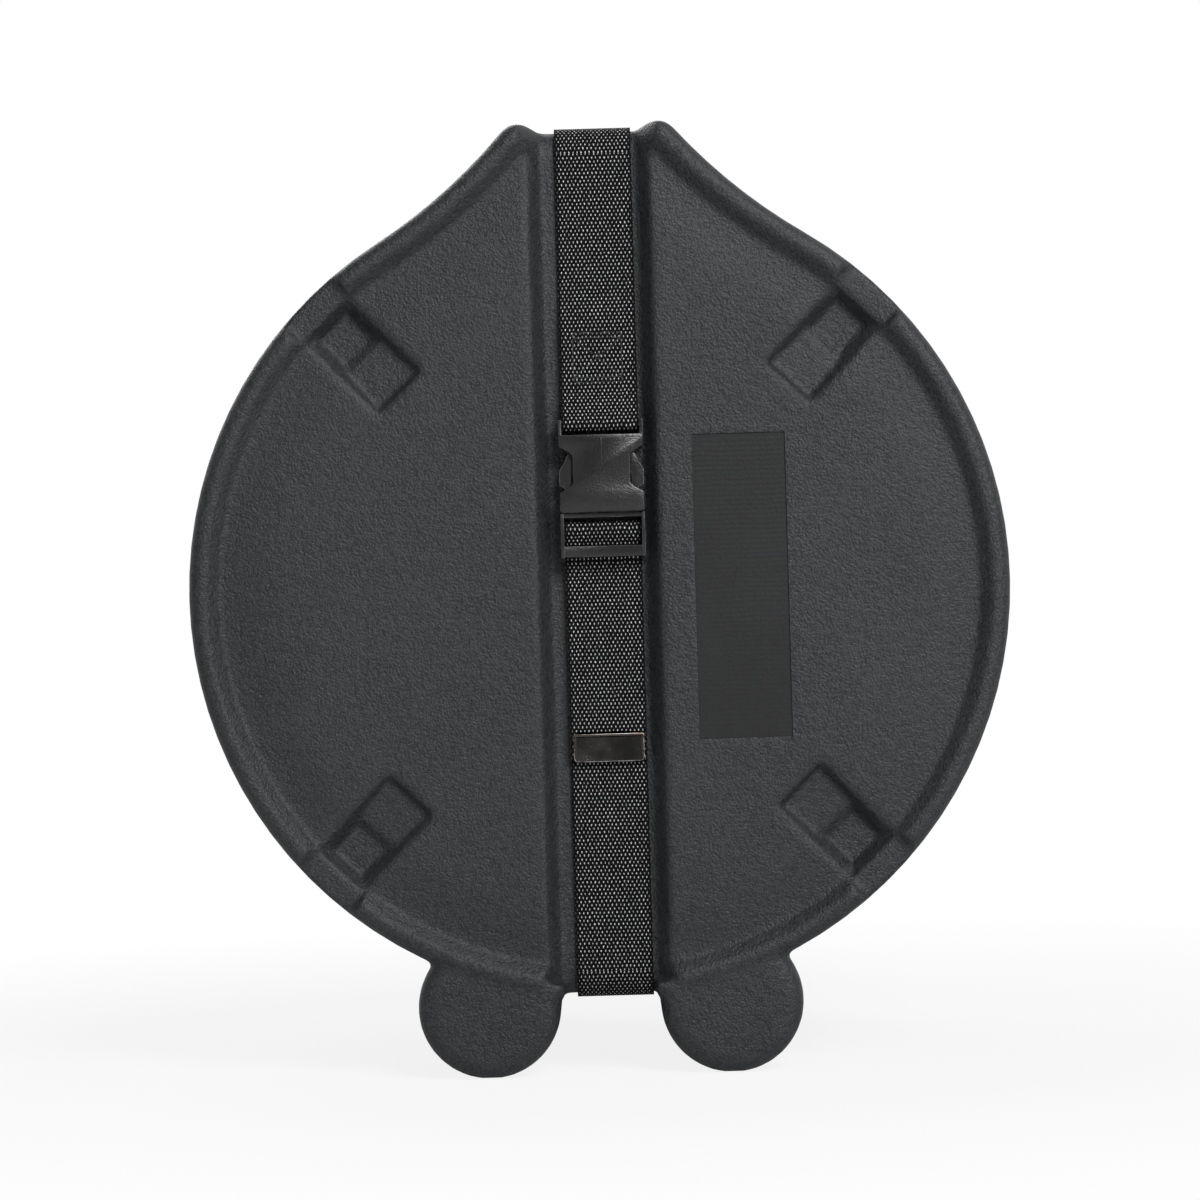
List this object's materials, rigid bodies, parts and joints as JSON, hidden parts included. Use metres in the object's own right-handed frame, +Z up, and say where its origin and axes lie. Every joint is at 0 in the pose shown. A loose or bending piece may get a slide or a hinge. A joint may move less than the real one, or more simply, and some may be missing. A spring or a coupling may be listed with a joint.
{
  "type": "tom drum case",
  "caption": "Round moulded tom drum case: a lid over a stepped base, foam lining, two foot lobes, stacking pockets and a webbing strap with a side-release buckle.",
  "frame": {"origin": "centre of the bounding box at floor level, under the foot lobes", "axes": "+Z up as the case stands on its foot lobes, -Y out of the lid's face, +X to the right when facing the lid"},
  "size_m": [0.4072, 0.336, 0.4774],
  "materials": {
    "moulded_plastic": "fine leather grain, satin",
    "grey_foam": "closed-cell foam, matt",
    "black_webbing": "coarse nylon weave",
    "buckle_plastic": "semi-gloss acetal",
    "dark_nickel": "dark nickel plate, worn",
    "steel": "zinc plated",
    "grip_rubber": "matt soft plastic"
  },
  "bodies": {
    "base": {"base_shell": "moulded_plastic", "base_foam_ring": "grey_foam", "base_foam_pad": "grey_foam", "strap_round_base": "black_webbing", "strap_rivet_upper": "steel", "strap_rivet_lower": "steel", "rivet_washer_upper": "steel", "rivet_washer_lower": "steel"},
    "lid": {"lid_shell": "moulded_plastic", "lid_foam_ring": "grey_foam", "lid_foam_pad": "grey_foam", "strap_over_lid": "black_webbing", "strap_under_lid": "black_webbing", "strap_upper_run": "black_webbing"},
    "strap_end_upper": {"buckle_female": "buckle_plastic"},
    "strap_end_lower": {"strap_lower_run": "black_webbing"},
    "buckle_plug": {"buckle_male": "buckle_plastic"},
    "prong_left": {"buckle_prong_left": "buckle_plastic"},
    "prong_right": {"buckle_prong_right": "buckle_plastic"},
    "tail": {"strap_tail": "black_webbing", "strap_tip": "dark_nickel"},
    "grip": {"grip_upper_half": "grip_rubber", "grip_lower_half": "grip_rubber"}
  },
  "joints": [
    {"name": "lid_slide", "type": "slide", "parent": "base", "child": "lid", "axis": [0, -1, 0], "range_m": [0, 0.1]},
    {"name": "upper_strap_slide", "type": "slide", "parent": "lid", "child": "strap_end_upper", "axis": [0, 0, 1], "range_m": [0, 0.1], "deforming": ["strap_upper_run"]},
    {"name": "lower_strap_slide", "type": "slide", "parent": "lid", "child": "strap_end_lower", "axis": [0, 0, -1], "range_m": [0, 0.1], "deforming": ["strap_lower_run"]},
    {"name": "buckle_unplug", "type": "slide", "parent": "strap_end_lower", "child": "buckle_plug", "axis": [0, 0, -1], "range_m": [0, 0.036], "deforming": ["buckle_prong_left", "buckle_prong_right"]},
    {"name": "prong_right_squeeze", "type": "hinge", "parent": "buckle_plug", "child": "prong_right", "pos_m": [0.0191, -0.16065, 0.2815], "axis": [0, -1, 0], "range_deg": [0, 7], "stiffness_Nm_per_rad": 0.5},
    {"name": "prong_left_squeeze", "type": "hinge", "parent": "buckle_plug", "child": "prong_left", "pos_m": [-0.0141, -0.16065, 0.2815], "axis": [0, 1, 0], "range_deg": [0, 7], "stiffness_Nm_per_rad": 0.5},
    {"name": "tail_swing", "type": "hinge", "parent": "buckle_plug", "child": "tail", "pos_m": [0.0025, -0.1585, 0.2555], "axis": [-1, 0, 0], "range_deg": [0, 80]},
    {"name": "grip_lift", "type": "slide", "parent": "base", "child": "grip", "axis": [0, 0, 1], "range_m": [0, 0.015], "deforming": ["strap_round_base"]}
  ],
  "couplings": [
    {"joint": "upper_strap_slide", "follows": "lid_slide", "ratio": 1},
    {"joint": "lower_strap_slide", "follows": "lid_slide", "ratio": 1},
    {"joint": "prong_left_squeeze", "follows": "prong_right_squeeze", "ratio": 1}
  ]
}
